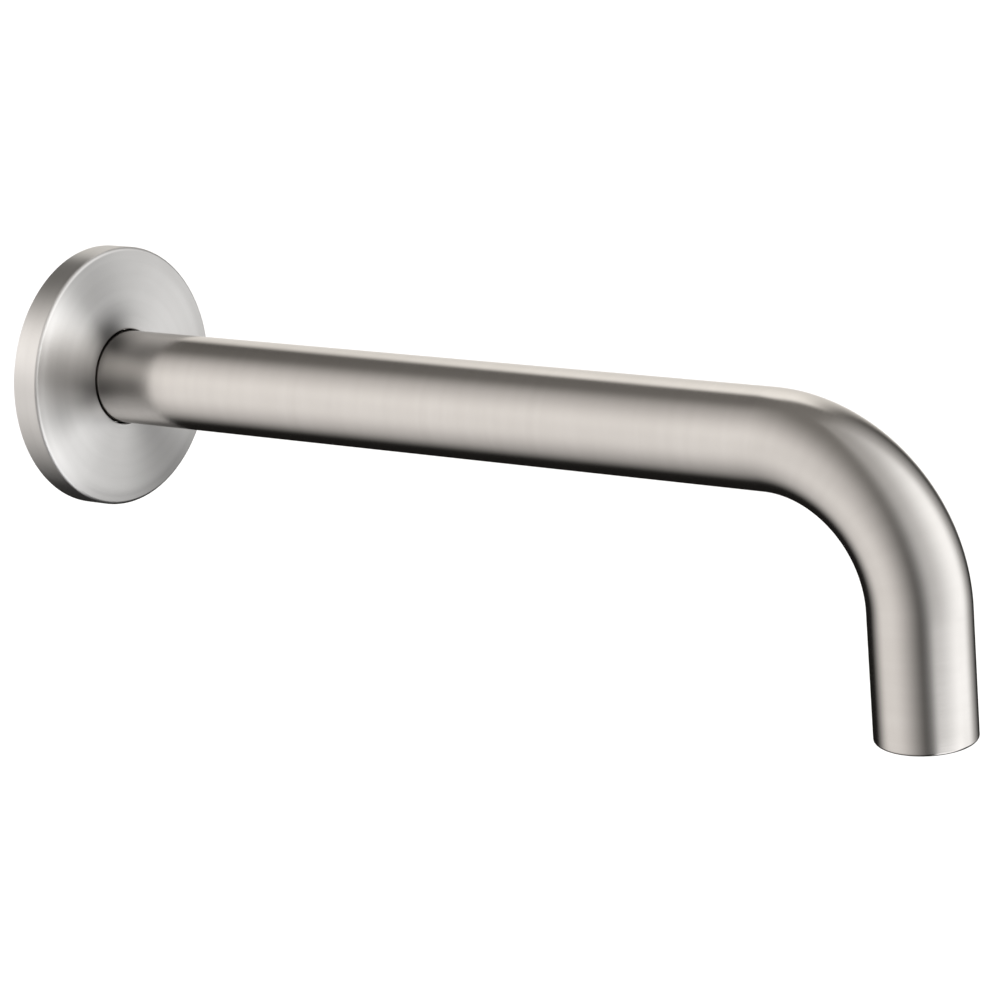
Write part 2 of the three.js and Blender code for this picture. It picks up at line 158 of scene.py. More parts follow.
def finished(name, build):
    mesh = bpy.data.meshes.new(name)
    build.to_mesh(mesh)
    build.free()
    piece = bpy.data.objects.new(name, mesh)
    scene.collection.objects.link(piece)
    return piece


def applied(piece):
    # the mesh with its modifiers taken in
    graph = bpy.context.evaluated_depsgraph_get()
    mesh = bpy.data.meshes.new_from_object(piece.evaluated_get(graph))
    piece.modifiers.clear()
    piece.data = mesh
    return piece


def prism(build, sides, radius, low, high, turn=0.0):
    # a straight bar with flat sides between two points, for carving
    middle, axis = (low + high) / 2, high - low
    aim = axis.to_track_quat("Z", "Y").to_matrix().to_4x4()
    matrix = Matrix.Translation(middle) @ aim @ Matrix.Rotation(turn, 4, "Z")
    bmesh.ops.create_cone(build, cap_ends=True, segments=sides, radius1=radius, radius2=radius,
                          depth=axis.length, matrix=matrix)


def carve(piece, build):
    cutter = finished("cutter", build)
    modifier = piece.modifiers.new("carve", "BOOLEAN")
    modifier.operation = "DIFFERENCE"
    modifier.solver = "EXACT"
    modifier.object = cutter
    applied(piece)
    bpy.data.objects.remove(cutter)
    return piece


def soften(piece):
    # even shading over flats beside small rounds, crisp where faces meet sharply
    mesh = piece.data
    mesh.polygons.foreach_set("use_smooth", [True] * len(mesh.polygons))
    mesh.set_sharp_from_angle(angle=radians(meshing["softenAngle"]))
    normals = piece.modifiers.new("normals", "WEIGHTED_NORMAL")
    normals.keep_sharp = True
    return piece


def settle(piece, node, body, material):
    piece.data.materials.clear()
    piece.data.materials.append(material)
    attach(piece, body)
    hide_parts(node)
    return piece


# Node helpers, and the effects that several materials share.

def feed(tree, socket, value):
    # a link when the value comes from another node, a plain value otherwise
    if isinstance(value, bpy.types.NodeSocket):
        tree.links.new(value, socket)
    else:
        socket.default_value = value


def addNode(tree, kind, inputs=None, **settings):
    node = tree.nodes.new(kind)
    for key, value in settings.items():
        setattr(node, key, value)
    for key, value in (inputs or {}).items():
        feed(tree, node.inputs[key], value)
    return node


def useGroup(tree, group, **inputs):
    node = addNode(tree, "ShaderNodeGroup", node_tree=group)
    for key, value in inputs.items():
        feed(tree, node.inputs[key.replace("_", " ")], value)
    return node.outputs


def mathNode(tree, operation, first, second=0.0):
    return addNode(tree, "ShaderNodeMath", {0: first, 1: second}, operation=operation).outputs[0]


def splitVector(tree, vector):
    return addNode(tree, "ShaderNodeSeparateXYZ", {0: vector}).outputs


def scaled(tree, vector, factor):
    return addNode(tree, "ShaderNodeVectorMath", {0: vector, "Scale": factor}, operation="SCALE").outputs[0]


def remap(tree, value, fromRange, toRange=(0.0, 1.0), kind="LINEAR"):
    return addNode(tree, "ShaderNodeMapRange", {
        "Value": value, "From Min": fromRange[0], "From Max": fromRange[1], "To Min": toRange[0],
        "To Max": toRange[1]}, interpolation_type=kind).outputs[0]


def between(tree, factor, low, high):
    return remap(tree, factor, (0.0, 1.0), (low, high))


def noise(tree, place, scale, detail, roughness=0.5):
    return addNode(tree, "ShaderNodeTexNoise", {
        "Vector": place, "Scale": scale, "Detail": detail, "Roughness": roughness}).outputs[0]


def mixColour(tree, factor, first, second):
    return addNode(tree, "ShaderNodeMix", {0: factor, 6: first, 7: second}, data_type="RGBA").outputs[2]


def newGroup(name, inputs, outputs):
    kinds = {"vector": "NodeSocketVector", "colour": "NodeSocketColor", "number": "NodeSocketFloat"}
    tree = bpy.data.node_groups.new(name, "ShaderNodeTree")
    for label, kind, *value in inputs:
        socket = tree.interface.new_socket(label, in_out="INPUT", socket_type=kinds[kind])
        if value:
            socket.default_value = value[0]
    for label, kind in outputs:
        tree.interface.new_socket(label, in_out="OUTPUT", socket_type=kinds[kind])
    return tree, tree.nodes.new("NodeGroupInput").outputs, tree.nodes.new("NodeGroupOutput").inputs


strokeNoise = {"fineDetail": 3.0, "fineRoughness": 0.65, "broadScale": 0.13, "broadDetail": 2.0,
               "range": (0.3, 0.7)}
wearMask = {"ridge": (0.52, 0.6), "detail": 4.0, "broken": (0.4, 0.6)}
patchNoise = {"detail": 5.0, "roughness": 0.55}


def turnedStrokesGroup():
    # fine brush or lathe marks that run round a turned piece, from its turn UVs
    tree, given, result = newGroup(
        "turnedStrokes", [("UV", "vector"), ("Around", "number", 3.0), ("Across", "number", 2500.0)],
        [("Strokes", "number"), ("Broad", "number")])
    parts = splitVector(tree, given["UV"])
    turn = mathNode(tree, "MULTIPLY", parts[0], 2 * pi)
    across = mathNode(tree, "MULTIPLY", parts[1], given["Across"])
    first = mathNode(tree, "MULTIPLY", mathNode(tree, "COSINE", turn), given["Around"])
    second = mathNode(tree, "MULTIPLY", mathNode(tree, "SINE", turn), given["Around"])
    place = addNode(tree, "ShaderNodeCombineXYZ", {0: first, 1: across, 2: second}).outputs[0]
    fine = noise(tree, place, 1.0, strokeNoise["fineDetail"], strokeNoise["fineRoughness"])
    slow = noise(tree, place, strokeNoise["broadScale"], strokeNoise["broadDetail"])
    tree.links.new(remap(tree, fine, strokeNoise["range"]), result["Strokes"])
    tree.links.new(remap(tree, slow, strokeNoise["range"]), result["Broad"])
    return tree


def wearGroup():
    # bright worn corners, broken up so that they don't look drawn on
    tree, given, result = newGroup(
        "edgeWear", [("Position", "vector"), ("Amount", "number", 1.0), ("Patch Scale", "number", 300.0)],
        [("Mask", "number")])
    bend = addNode(tree, "ShaderNodeNewGeometry").outputs["Pointiness"]
    ridge = remap(tree, bend, wearMask["ridge"])
    patch = noise(tree, given["Position"], given["Patch Scale"], wearMask["detail"])
    broken = remap(tree, patch, wearMask["broken"])
    amount = mathNode(tree, "MULTIPLY", mathNode(tree, "MULTIPLY", ridge, broken), given["Amount"])
    tree.links.new(amount, result["Mask"])
    return tree


def patchGroup():
    # slow uneven tone, such as handling marks on metal or dust on rubber
    tree, given, result = newGroup(
        "slowPatches",
        [("Position", "vector"), ("Size", "number", 40.0), ("Low", "number", 0.35), ("High", "number", 0.65)],
        [("Mask", "number")])
    cloud = noise(tree, given["Position"], given["Size"], patchNoise["detail"], patchNoise["roughness"])
    tree.links.new(remap(tree, cloud, (given["Low"], given["High"])), result["Mask"])
    return tree


def paintedFanLightGroup(paintedLightFans):
    # painted shade and painted highlights laid into the colour as fans, in place of a brushed disc's
    # reflections: darker fans, a darker band near the bore where the tube shades the face, brighter fans and
    # a brighter rim edge; how the colour changes with angle and radius
    tree, given, result = newGroup(
        "paintedFanLight", [("Position", "vector"), ("Color", "colour", (0.6, 0.6, 0.6, 1))], [("Color", "colour")])
    parts = splitVector(tree, given["Position"])
    leftward = mathNode(tree, "MULTIPLY", parts[0], -1.0)
    angle = mathNode(tree, "DEGREES", mathNode(tree, "ARCTAN2", parts[2], leftward))
    flat = addNode(tree, "ShaderNodeCombineXYZ", {0: parts[0], 1: parts[2]}).outputs[0]
    radius = addNode(tree, "ShaderNodeVectorMath", {0: flat}, operation="LENGTH").outputs["Value"]
    level = 1.0
    for paintedFan in paintedLightFans:
        turned = mathNode(tree, "SUBTRACT", angle, paintedFan["centre"])
        wrapped = addNode(tree, "ShaderNodeMath", {0: turned, 1: 180.0, 2: -180.0}, operation="WRAP")
        away = mathNode(tree, "ABSOLUTE", wrapped.outputs[0])
        window = remap(tree, away, (0.0, paintedFan["width"]), (paintedFan["change"], 0.0), "SMOOTHSTEP")
        ramp = remap(tree, radius, paintedFan["radii"], kind="SMOOTHSTEP")
        level = mathNode(tree, "ADD", mathNode(tree, "MULTIPLY", window, ramp), level)
    tree.links.new(scaled(tree, given["Color"], level), result["Color"])
    return tree


turnedStrokes, edgeWear, slowPatches = turnedStrokesGroup(), wearGroup(), patchGroup()


def newMaterial(name, **settings):
    material = bpy.data.materials.new(name)
    material.use_nodes = True
    tree = material.node_tree
    shader = tree.nodes["Principled BSDF"]
    for key, value in settings.items():
        shader.inputs[key.replace("_", " ")].default_value = value
    place = tree.nodes.new("ShaderNodeTexCoord").outputs
    return material, tree, shader, place


def brushedMetal(name, look):
    material, tree, shader, place = newMaterial(
        name, Metallic=1.0, Anisotropic=look["anisotropy"], Anisotropic_Rotation=look["rotation"],
        Specular_Tint=look["edgeTint"])
    strokes = useGroup(tree, turnedStrokes, UV=place["UV"], Around=look["around"], Across=look["across"])
    patches = useGroup(tree, slowPatches, Position=place["Object"], Size=look["patchSize"])
    worn = useGroup(tree, edgeWear, Position=place["Object"], Amount=look["wear"])
    patchShare = between(tree, patches["Mask"], 0.0, look["patchTone"])
    tone = mixColour(tree, patchShare, look["colour"], look["shade"])
    strokeShare = between(tree, strokes["Broad"], 0.0, look["strokeTone"])
    grained = mixColour(tree, strokeShare, tone, look["shade"])
    bright = mixColour(tree, worn["Mask"], grained, look["worn"])
    # painted shade and painted highlights in fans over the base colour, for a look that lists them
    if look.get("paintedLightFans"):
        bright = useGroup(tree, paintedFanLightGroup(look["paintedLightFans"]), Position=place["Object"], Color=bright)["Color"]
    tree.links.new(bright, shader.inputs["Base Color"])
    smooth, rough = look["roughness"], look["roughness"] + look["roughSpread"]
    strokeRough = between(tree, strokes["Strokes"], smooth, rough)
    patchRough = between(tree, patches["Mask"], 0.0, look["patchRough"])
    tree.links.new(mathNode(tree, "ADD", strokeRough, patchRough), shader.inputs["Roughness"])
    bump = addNode(tree, "ShaderNodeBump", {
        "Strength": look["bump"], "Distance": look["depth"], "Height": strokes["Strokes"]})
    tree.links.new(bump.outputs[0], shader.inputs["Normal"])
    tangent = addNode(tree, "ShaderNodeTangent", direction_type="UV_MAP", uv_map="turn")
    tree.links.new(tangent.outputs[0], shader.inputs["Tangent"])
    return material


tubeLook = {
    "colour": (0.61, 0.587, 0.564, 1), "shade": (0.50, 0.478, 0.452, 1), "worn": (0.78, 0.76, 0.73, 1),
    "roughness": 0.145, "roughSpread": 0.04, "patchRough": 0.025, "anisotropy": 0.25, "rotation": 0.25,
    "around": 2.0, "across": 2600.0, "patchSize": 38.0, "patchTone": 0.18, "strokeTone": 0.16,
    "bump": 0.25, "depth": 0.00001, "wear": 0.5, "edgeTint": (0.67, 0.66, 0.65, 1)}
# painted shade and painted highlights for the flange: darker fans, a darker band round the bore and at the
# bottom of the rim, brighter fans and a brighter rim edge, standing in for the brushed face's reflections
flangePaintedLight = [  # angles in degrees from -X, with 90 up; a change sets in between the two radii
    {"centre": 72, "width": 55, "change": -0.45, "radii": (0.012, 0.013)},
    {"centre": 72, "width": 55, "change": 0.40, "radii": (0.0338, 0.0344)},
    {"centre": -115, "width": 54, "change": -0.56, "radii": (0.012, 0.013)},
    {"centre": 60, "width": 75, "change": -0.40, "radii": (0.023, 0.014)},
    {"centre": -12, "width": 45, "change": -0.28, "radii": (0.023, 0.014)},
    {"centre": 34, "width": 30, "change": 0.55, "radii": (0.012, 0.016)},
    {"centre": -5, "width": 23, "change": -0.28, "radii": (0.012, 0.013)},
    {"centre": -5, "width": 23, "change": 0.28, "radii": (0.0338, 0.0344)},
    {"centre": 5, "width": 70, "change": 0.20, "radii": (0.027, 0.033)},
    {"centre": -85, "width": 28, "change": -0.60, "radii": (0.034, 0.0345)},
]
flangeLook = dict(tubeLook, colour=(0.6, 0.588, 0.574, 1), shade=(0.49, 0.479, 0.464, 1), roughness=0.33,
                  anisotropy=0.87, around=1.1, across=3200.0, strokeTone=0.2, bump=0.22, paintedLightFans=flangePaintedLight)
brassLook = {
    "colour": (0.62, 0.44, 0.18, 1), "shade": (0.33, 0.2, 0.075, 1), "worn": (0.8, 0.62, 0.32, 1),
    "roughness": 0.24, "roughSpread": 0.12, "patchRough": 0.14, "anisotropy": 0.4, "rotation": 0.25,
    "around": 1.5, "across": 6000.0, "patchSize": 160.0, "patchTone": 0.6, "strokeTone": 0.25,
    "bump": 0.4, "depth": 0.00002, "wear": 0.7, "edgeTint": (1, 1, 1, 1)}
lockLook = dict(brassLook, colour=(0.3, 0.3, 0.31, 1), shade=(0.14, 0.14, 0.15, 1), worn=(0.6, 0.6, 0.6, 1),
                patchTone=0.4)
screenLook = dict(lockLook, colour=(0.55, 0.55, 0.54, 1), shade=(0.34, 0.34, 0.33, 1), wear=0.0, bump=0.1)

tubeMetal = brushedMetal("brushedNickelTube", tubeLook)
flangeMetal = brushedMetal("brushedNickelFlange", flangeLook)
brass = brushedMetal("turnedBrass", brassLook)
lockSteel = brushedMetal("blackenedSteel", lockLook)
screenSteel = brushedMetal("screenWire", screenLook)


def dullMaterial(name, look):
    # rubber, foam, fibre and moulded plastic: two tones, a grain and a little dust
    material, tree, shader, place = newMaterial(name, **{"Specular IOR Level": look["specular"]})
    patches = useGroup(tree, slowPatches, Position=place["Object"], Size=look["patchSize"])
    worn = useGroup(tree, edgeWear, Position=place["Object"], Amount=look["wear"])
    tone = mixColour(tree, patches["Mask"], look["colour"], look["shade"])
    bright = mixColour(tree, worn["Mask"], tone, look["worn"])
    tree.links.new(bright, shader.inputs["Base Color"])
    grain = noise(tree, place["Object"], look["grain"], look["grainDetail"], look["grainRoughness"])
    rough, spread = look["roughness"], look["roughSpread"]
    tree.links.new(between(tree, grain, rough - spread, rough + spread), shader.inputs["Roughness"])
    height = grain
    if look.get("cells"):
        cells = addNode(tree, "ShaderNodeTexVoronoi", {"Vector": place["Object"], "Scale": look["cells"]})
        height = mathNode(tree, "ADD", height, cells.outputs["Distance"])
    bump = addNode(tree, "ShaderNodeBump", {
        "Strength": look["bump"], "Distance": look["depth"], "Height": height})
    tree.links.new(bump.outputs[0], shader.inputs["Normal"])
    return material


rubberLook = {
    "colour": (0.012, 0.012, 0.013, 1), "shade": (0.03, 0.03, 0.031, 1), "worn": (0.09, 0.09, 0.09, 1),
    "roughness": 0.62, "roughSpread": 0.08, "specular": 0.4, "patchSize": 220.0, "grain": 5200.0,
    "grainDetail": 4.0, "grainRoughness": 0.6, "bump": 0.3, "depth": 0.00003, "wear": 0.3}
foamLook = dict(rubberLook, colour=(0.02, 0.02, 0.022, 1), shade=(0.05, 0.05, 0.052, 1), roughness=0.9,
                cells=2400.0, bump=0.7, depth=0.0002, specular=0.2)
fibreLook = dict(rubberLook, colour=(0.26, 0.05, 0.03, 1), shade=(0.34, 0.09, 0.05, 1),
                 worn=(0.5, 0.2, 0.13, 1), roughness=0.85, grain=3400.0, bump=0.5, depth=0.00006)
plasticLook = dict(rubberLook, colour=(0.62, 0.62, 0.59, 1), shade=(0.55, 0.545, 0.51, 1),
                   worn=(0.72, 0.72, 0.7, 1), roughness=0.42, specular=0.5, grain=4200.0, bump=0.15,
                   depth=0.00002)

rubber = dullMaterial("sealRubber", rubberLook)
foam = dullMaterial("gasketFoam", foamLook)
fibre = dullMaterial("pressedFibre", fibreLook)
plastic = dullMaterial("mouldedPlastic", plasticLook)
print("materials made")


# The bent tube, with the lock screw's hole in its underside.

tube = {"bore": 11.0 * mm, "bend": 38.0 * mm, "lipRound": 0.9 * mm, "lipInner": 0.3 * mm,
        "startRound": 0.3 * mm, "straightStep": 8 * mm, "bendStep": 1.25 * mm, "dropStep": 4 * mm,
        "sides": 128}
lockHole = {"radius": 2.65 * mm, "tubeFrom": 9 * mm, "socketFrom": 5 * mm, "to": 15 * mm, "sides": 48}

tubeStraight = -outletY - tube["bend"] - spoutStart
tubeArc = tube["bend"] * pi / 2
tubeDrop = -outletZ - tube["bend"]
tubeLength = tubeStraight + tubeArc + tubeDrop


def tubePlace(radius, angle, along):
    # along runs down the tube's middle: straight, quarter bend, drop
    turn = min(max((along - tubeStraight) / tube["bend"], 0), pi / 2)
    out = spoutStart + min(along, tubeStraight) + tube["bend"] * sin(turn)
    down = tube["bend"] * (1 - cos(turn)) + max(along - tubeStraight - tubeArc, 0)
    across = radius * sin(angle)
    return Vector((radius * cos(angle), -out - across * sin(turn), -down + across * cos(turn)))


def tubeSkin(radius, lastCorner, reverse):
    # rows along one skin of the tube, from the start to the outlet or back
    rows = [
        (radius, 0.0, tube["startRound"], tube["straightStep"]), (radius, tubeStraight, 0, tube["bendStep"]),
        (radius, tubeStraight + tubeArc, 0, tube["dropStep"]), (radius, tubeLength, lastCorner, 0)]
    if not reverse:
        return rows
    steps = [row[3] for row in rows]
    return [row[:3] + (step,) for row, step in zip(rows[::-1], steps[2::-1] + [0])]


def lockHoleCutter(start):
    low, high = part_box("lock_screw")
    at = (low.y + high.y) / 2
    build = bmesh.new()
    prism(build, lockHole["sides"], lockHole["radius"], Vector((0, at, -start)),
          Vector((0, at, -lockHole["to"])))
    return build


def makeTube():
    outline = tubeSkin(tubeRadius, tube["lipRound"], False) + tubeSkin(tube["bore"], tube["lipInner"], True)
    piece = turnedPiece("bentTube", outline, tubePlace, tube["sides"])
    soften(carve(piece, lockHoleCutter(lockHole["tubeFrom"])))
    return settle(piece, "spout_tube", "spout", tubeMetal)


makeTube()
print("tube made")


# The wall flange, the foam behind it and the rubber ring that grips the tube.

flange = {"rimRound": 1.0 * mm, "backRound": 0.35 * mm, "crown": 1.0 * mm, "shoulder": 0.3 * mm,
          "shoulderWidth": 3.2 * mm, "boreGap": 0.35 * mm, "boreRound": 0.35 * mm, "frontWall": 2.5 * mm,
          "rimWall": 5.5 * mm, "hubWall": 4.5 * mm, "gripDepth": 1.2 * mm, "gripWidth": 2.4 * mm,
          "gasketGap": 0.15 * mm, "gasketFloor": 0.3 * mm, "fineRound": 0.1 * mm, "faceSteps": 28,
          "cornerSteps": 6, "sides": 192}
foamBand = {"width": 2.8 * mm, "corner": 0.3 * mm, "sides": 128}
cord = {"gap": 0.1 * mm, "around": 24, "sides": 128}


def makeFlange():
    low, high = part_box("wall_flange")
    outside, back, front = high.x, -high.y, -low.y
    gasketLow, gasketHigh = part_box("flange_gasket")
    ringLow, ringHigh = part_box("flange_grip_ring")
    grip = -(ringLow.y + ringHigh.y) / 2
    bore = tubeRadius + flange["boreGap"]
    rimFront = front - flange["crown"]
    faceEdge = outside - flange["rimRound"]
    face = []
    for i in range(1, flange["faceSteps"]):
        radius = faceEdge + (bore - faceEdge) * i / flange["faceSteps"]
        dome = (radius ** 2 - bore ** 2) / (faceEdge ** 2 - bore ** 2)
        edge = max(0, 1 - (faceEdge - radius) / flange["shoulderWidth"]) ** 2
        sunk = (flange["crown"] - flange["shoulder"]) * dome
        face.append((radius, front - sunk - flange["shoulder"] * edge))
    pocket = outside - flange["rimWall"]
    hub = bore + flange["hubWall"]
    gasketOuter = gasketHigh.x + flange["gasketGap"]
    gasketInner = gasketHigh.x - foamBand["width"] - flange["gasketGap"]
    floorAt = -gasketLow.y + flange["gasketFloor"]
    groove = bore + flange["gripDepth"]
    half = flange["gripWidth"] / 2
    fine = flange["fineRound"]
    inside = rimFront - flange["frontWall"]
    outline = [
        (outside, back, flange["backRound"]), (outside, rimFront, flange["rimRound"]), *face,
        (bore, front, flange["boreRound"]), (bore, grip + half, fine), (groove, grip + half, fine),
        (groove, grip - half, fine), (bore, grip - half, fine), (bore, spoutStart, fine),
        (hub, spoutStart, 3 * fine), (hub, inside, 6 * fine), (pocket, inside, 6 * fine),
        (pocket, back, 2 * fine), (gasketInner, back, fine), (gasketInner, floorAt, fine),
        (gasketOuter, floorAt, fine), (gasketOuter, back, fine)]
    piece = turnedPiece("coverFlange", outline, inletPlace, flange["sides"], steps=flange["cornerSteps"])
    soften(piece)
    return settle(piece, "wall_flange", "flange", flangeMetal)


def makeBand(name, node, body, material, place, inner, band):
    # a plain ring that fills its CAD node's box, with eased corners
    low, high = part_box(node)
    outer, corner = (high.x - low.x) / 2, band["corner"]
    start, end = (-high.y, -low.y) if place is inletPlace else (low.z - outletZ, high.z - outletZ)
    outline = [(inner, start, corner), (outer, start, corner), (outer, end, corner), (inner, end, corner)]
    piece = soften(turnedPiece(name, outline, place, band["sides"]))
    return settle(piece, node, body, material)


def makeCordRing(name, node, body, seat):
    # a round rubber cord, squeezed over its seat
    low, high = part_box(node)
    inner, outer = seat + cord["gap"], high.x
    middle, half = -(low.y + high.y) / 2, (high.y - low.y) / 2
    outline = []
    for i in range(cord["around"]):
        angle = 2 * pi * i / cord["around"]
        outline.append(((inner + outer) / 2 + (outer - inner) / 2 * cos(angle), middle + half * sin(angle)))
    piece = turnedPiece(name, outline, inletPlace, cord["sides"])
    return settle(piece, node, body, rubber)


makeFlange()
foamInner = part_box("flange_gasket")[1].x - foamBand["width"]
makeBand("foamGasket", "flange_gasket", "flange", foam, inletPlace, foamInner, foamBand)
makeCordRing("flangeGrip", "flange_grip_ring", "flange_grip", tubeRadius)
print("flange made")


# The nipple in the wall, the socket that slides over it and the screw that locks them.

nipple = {"bore": 5.5 * mm, "threadRadius": 10.48 * mm, "pitch": 1.814 * mm, "threadDepth": 1.16 * mm,
          "threadLead": 1.0 * mm, "threadEnd": 0.9 * mm, "stepsPerPitch": 14, "spigot": 8.0 * mm,
          "collarBack": 1.8 * mm, "collarFront": 4.0 * mm, "grooveRadius": 6.5 * mm, "grooveWidth": 2.4 * mm,
          "noseRound": 0.5 * mm, "mouthRound": 0.3 * mm, "fineRound": 0.15 * mm, "keyRadius": 7.0 * mm,
          "keyDepth": 8 * mm, "keySides": 6, "sides": 96}
socket = {"outer": 10.85 * mm, "bore": 8.15 * mm, "throat": 6.55 * mm, "stop": 3.7 * mm, "lead": 1.0 * mm,
          "fineRound": 0.2 * mm, "sides": 96}
washer = {"inner": 10.63 * mm, "corner": 0.15 * mm, "sides": 128}


def makeNipple():
    low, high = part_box("wall_nipple")
    back, end, collar = -high.y, -low.y, high.x
    crest = nipple["threadRadius"]
    root = crest - nipple["threadDepth"]
    threadStart = back + nipple["threadLead"]
    fine = nipple["fineRound"]
    grooves = []
    for ring in ("nipple_o_ring_inner", "nipple_o_ring_outer"):
        ringLow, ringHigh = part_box(ring)
        middle, half = -(ringLow.y + ringHigh.y) / 2, nipple["grooveWidth"] / 2
        grooves += [(nipple["spigot"], middle - half, fine), (nipple["grooveRadius"], middle - half, fine),
                    (nipple["grooveRadius"], middle + half, fine), (nipple["spigot"], middle + half, fine)]
    outline = [
        (nipple["bore"], back, 2 * fine), (root, back, fine),
        (crest, threadStart, 0, nipple["pitch"] / nipple["stepsPerPitch"]), (crest, nipple["collarBack"], 0),
        (collar, nipple["collarBack"], fine), (collar, nipple["collarFront"], 2 * fine),
        (nipple["spigot"], nipple["collarFront"], 2 * fine), *grooves,
        (nipple["spigot"], end, nipple["noseRound"]), (nipple["bore"], end, nipple["mouthRound"])]
    thread = {"radius": crest, "start": threadStart, "end": nipple["collarBack"] - nipple["threadEnd"],
              "pitch": nipple["pitch"], "depth": -nipple["threadDepth"]}
    piece = turnedPiece("threadedNipple", outline, inletPlace, nipple["sides"], thread)
    keyDepth = nipple["keyDepth"]
    build = bmesh.new()
    prism(build, nipple["keySides"], nipple["keyRadius"], inletPlace(0, 0, end - keyDepth),
          inletPlace(0, 0, end + keyDepth))
    soften(carve(piece, build))
    return settle(piece, "wall_nipple", "wall_fitting", brass)


def makeSocket():
    low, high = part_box("inlet_socket")
    start, end = -high.y, -low.y
    fine, stop = socket["fineRound"], end - socket["stop"]
    outline = [
        (socket["bore"] + socket["lead"], start, fine), (socket["outer"], start, fine),
        (socket["outer"], end, 2 * fine), (socket["throat"], end, 2 * fine), (socket["throat"], stop, fine),
        (socket["bore"], stop, fine), (socket["bore"], start + socket["lead"], fine)]
    piece = turnedPiece("brazedSocket", outline, inletPlace, socket["sides"])
    soften(carve(piece, lockHoleCutter(lockHole["socketFrom"])))
    return settle(piece, "inlet_socket", "spout", brass)


lock = {"keyRadius": 1.44 * mm, "keyDepth": 2.0 * mm, "keySides": 6, "pitch": 0.8 * mm,
        "threadDepth": 0.42 * mm, "threadLead": 0.6 * mm, "threadEnd": 0.2 * mm, "stepsPerPitch": 12,
        "point": 1.2 * mm, "pointRound": 0.1 * mm, "cup": 0.35 * mm, "cone": 0.7 * mm,
        "bevelWidth": 0.35 * mm, "bevelHeight": 0.3 * mm, "bevelRound": 0.05 * mm, "sides": 64}


def makeLockScrew():
    low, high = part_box("lock_screw")
    at, radius = (low.y + high.y) / 2, (high.x - low.x) / 2
    tip, end = -high.z, -low.z

    def downPlace(distance, angle, along):
        return Vector((distance * cos(angle), at + distance * sin(angle), -along))

    outline = [
        (0, tip + lock["cup"]), (lock["point"], tip, lock["pointRound"]),
        (radius, tip + lock["cone"], 0, lock["pitch"] / lock["stepsPerPitch"]),
        (radius, end - lock["bevelHeight"], 0), (radius - lock["bevelWidth"], end, lock["bevelRound"]),
        (0, end)]
    thread = {"radius": radius, "start": tip + lock["threadLead"], "end": end - lock["threadEnd"],
              "pitch": lock["pitch"], "depth": -lock["threadDepth"]}
    piece = turnedPiece("lockScrew", outline, downPlace, lock["sides"], thread)
    build = bmesh.new()
    prism(build, lock["keySides"], lock["keyRadius"], downPlace(0, 0, end - lock["keyDepth"]),
          downPlace(0, 0, end + lock["keyDepth"]))
    soften(carve(piece, build))
    return settle(piece, "lock_screw", "lock_screw", lockSteel)


makeNipple()
makeSocket()
makeLockScrew()
makeBand("fibreWasher", "nipple_washer", "wall_fitting", fibre, inletPlace, washer["inner"],
         washer)
makeCordRing("spigotSealInner", "nipple_o_ring_inner", "wall_fitting", nipple["grooveRadius"])
makeCordRing("spigotSealOuter", "nipple_o_ring_outer", "wall_fitting", nipple["grooveRadius"])
print("nipple, socket and lock screw made")


# The outlet collar and the aerator that screws into it.

outlet = {"collarBore": 9.4 * mm, "collarOuter": 10.85 * mm, "seatBore": 7.25 * mm, "seatThickness": 2.5 * mm,
          "pitch": 1.0 * mm, "threadDepth": 0.5 * mm, "stepsPerPitch": 12, "lead": 0.5 * mm,
          "fineRound": 0.2 * mm, "sides": 96}
shell = {"radius": 9.25 * mm, "bore": 8.25 * mm, "lip": 7.0 * mm, "lipThickness": 1.2 * mm, "bevel": 0.3 * mm,
         "threadFrom": 1.6 * mm, "topBevel": 0.4 * mm, "fineRound": 0.15 * mm, "slots": 4,
         "slotWidth": 1.8 * mm, "slotDepth": 0.8 * mm, "slotShort": 0.9 * mm}
threadStep = outlet["pitch"] / outlet["stepsPerPitch"]


def heights(node):
    low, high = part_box(node)
    return low.z - outletZ, high.z - outletZ


def makeCollar():
    bottom, top = heights("outlet_collar")
    seat = top - outlet["seatThickness"]
    bore, lead, fine = outlet["collarBore"], outlet["lead"], outlet["fineRound"]
    outline = [
        (outlet["collarOuter"], bottom, fine), (outlet["collarOuter"], top, fine),
        (outlet["seatBore"], top, 2 * fine), (outlet["seatBore"], seat, fine), (bore, seat, 0, threadStep),
        (bore, bottom + lead, 0), (bore + lead, bottom, 0)]
    thread = {"radius": bore, "start": bottom + lead, "end": seat - lead, "pitch": outlet["pitch"],
              "depth": outlet["threadDepth"]}
    piece = soften(turnedPiece("outletCollar", outline, outletPlace, outlet["sides"], thread))
    return settle(piece, "outlet_collar", "spout", brass)


